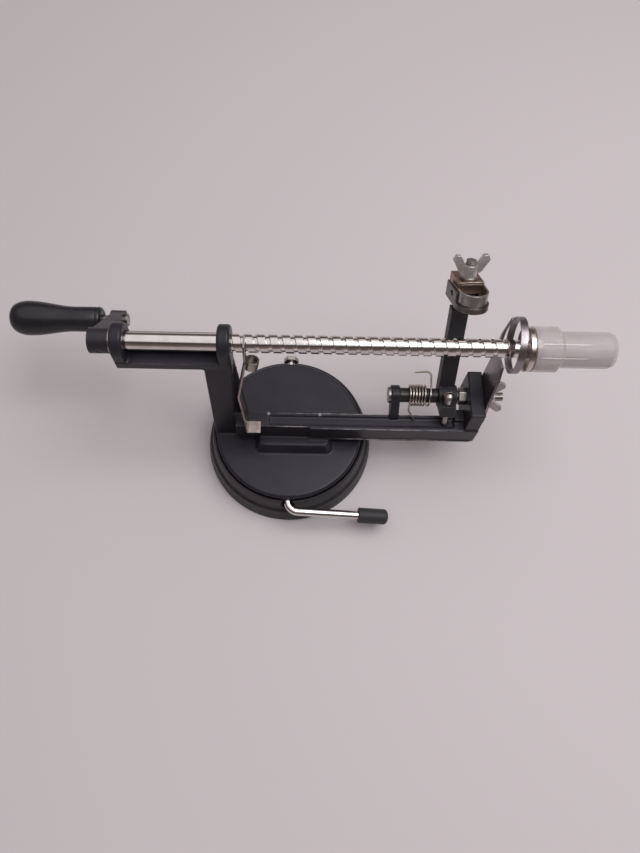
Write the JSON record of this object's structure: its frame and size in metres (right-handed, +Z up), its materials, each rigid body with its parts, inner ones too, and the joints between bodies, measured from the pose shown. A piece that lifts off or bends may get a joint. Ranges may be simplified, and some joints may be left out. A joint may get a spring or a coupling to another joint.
{
  "type": "apple peeler",
  "caption": "Hand-cranked apple peeler: lead screw with crank and capped fork in a cast stand on a suction base, sprung peeling arm and coring blade.",
  "frame": {"origin": "centre of the suction base's underside, on the table", "axes": "+X along the lead screw towards the fork, +Y away from the user, +Z up"},
  "size_m": [0.3238, 0.1128, 0.1242],
  "materials": {
    "black_casting": "black satin coating on a casting",
    "black_rubber": "matt black rubber",
    "black_nylon": "black nylon",
    "chrome_rod": "bright chrome plate",
    "lever_rubber": "matt black rubber",
    "zinc_steel": "zinc-plated steel",
    "chrome_screw": "bright plated thread",
    "black_crank": "black satin coating",
    "dark_steel": "dark steel",
    "washer_steel": "plain steel",
    "axle_steel": "plain steel",
    "black_handle": "smooth black, satin",
    "nickel_collar": "nickel plate, slightly yellow",
    "tine_steel": "bright steel",
    "frosted_cap": "frosted translucent plastic",
    "latch_steel": "worn spring steel",
    "spring_steel": "drawn spring wire",
    "black_arm": "black coating",
    "bracket_steel": "plated steel with a bronze tint",
    "blade_steel": "ground blade steel",
    "guard_steel": "dull blade steel",
    "wing_nut_zinc": "zinc plate",
    "corer_steel": "dull stainless steel"
  },
  "bodies": {
    "stand": {"frame_casting": "black_casting", "suction_cup": "black_rubber", "pivot_bolt": "axle_steel", "pivot_sleeve": "dark_steel", "pivot_lock_nut": "zinc_steel", "torsion_spring": "spring_steel", "coring_blade": "corer_steel", "blade_washer": "washer_steel"},
    "lever": {"lever_rod": "chrome_rod", "lever_cam": "black_nylon", "lever_grip": "lever_rubber", "lever_nut": "zinc_steel"},
    "stem": {"cup_stem": "black_nylon"},
    "washer": {"thrust_washer": "washer_steel"},
    "screw": {"lead_screw": "chrome_screw", "crank_arm": "black_crank", "crank_set_screw": "dark_steel", "handle_axle": "axle_steel", "handle_washer": "washer_steel", "fork_collar": "nickel_collar", "fork_tines": "tine_steel"},
    "handle": {"handle_grip": "black_handle"},
    "cap": {"fork_cap": "frosted_cap"},
    "latch": {"quick_release_latch": "latch_steel"},
    "arm": {"peeling_arm": "black_arm", "stop_screw": "zinc_steel", "clamp_bracket": "bracket_steel", "peeling_blade": "blade_steel", "depth_guard": "guard_steel", "blade_rivets": "dark_steel", "clamp_stud": "zinc_steel", "clamp_washer": "washer_steel"},
    "clamp_nut": {"clamp_wing_nut": "wing_nut_zinc"},
    "blade_nut": {"blade_wing_nut": "wing_nut_zinc"}
  },
  "joints": [
    {"name": "cup_lever", "type": "hinge", "parent": "stand", "child": "lever", "pos_m": [0, 0, 0.018], "axis": [0, -1, 0], "range_deg": [0, 170]},
    {"name": "cup_lift", "type": "slide", "parent": "stand", "child": "stem", "axis": [0, 0, 1], "range_m": [0, 0.0025], "deforming": ["suction_cup"]},
    {"name": "shaft_travel", "type": "slide", "parent": "stand", "child": "washer", "axis": [1, 0, 0], "range_m": [-0.1018, 0]},
    {"name": "crank_spin", "type": "hinge", "parent": "washer", "child": "screw", "pos_m": [0, 0.017, 0.094], "axis": [1, 0, 0], "range_deg": [-5760, 0]},
    {"name": "handle_spin", "type": "hinge", "parent": "screw", "child": "handle", "pos_m": [-0.13, 0.0482, 0.063], "axis": [1, 0, 0], "continuous": true},
    {"name": "cap_pull", "type": "slide", "parent": "screw", "child": "cap", "axis": [1, 0, 0], "range_m": [0, 0.045]},
    {"name": "latch_release", "type": "hinge", "parent": "stand", "child": "latch", "pos_m": [-0.019, -0.012, 0.04452], "axis": [1, 0, 0], "range_deg": [0, 8], "stiffness_Nm_per_rad": 0.3, "springref_deg": -17.19},
    {"name": "arm_swing", "type": "hinge", "parent": "stand", "child": "arm", "pos_m": [0.089, 0.01, 0.0515], "axis": [-1, 0, 0], "range_deg": [0, 50], "stiffness_Nm_per_rad": 0.15, "springref_deg": -34.38, "deforming": ["torsion_spring"]},
    {"name": "clamp_nut_turn", "type": "hinge", "parent": "arm", "child": "clamp_nut", "pos_m": [0.0902, 0.01272, 0.05001], "axis": [0, 0.4818, 0.8763], "range_deg": [0, 90]},
    {"name": "blade_nut_turn", "type": "hinge", "parent": "stand", "child": "blade_nut", "pos_m": [0.115, 0.01, 0.0515], "axis": [1, 0, 0], "range_deg": [0, 90]}
  ],
  "couplings": [
    {"joint": "cup_lift", "follows": "cup_lever", "m_per_rad": 0.000803},
    {"joint": "shaft_travel", "follows": "crank_spin", "m_per_rad": 0.0010106}
  ]
}
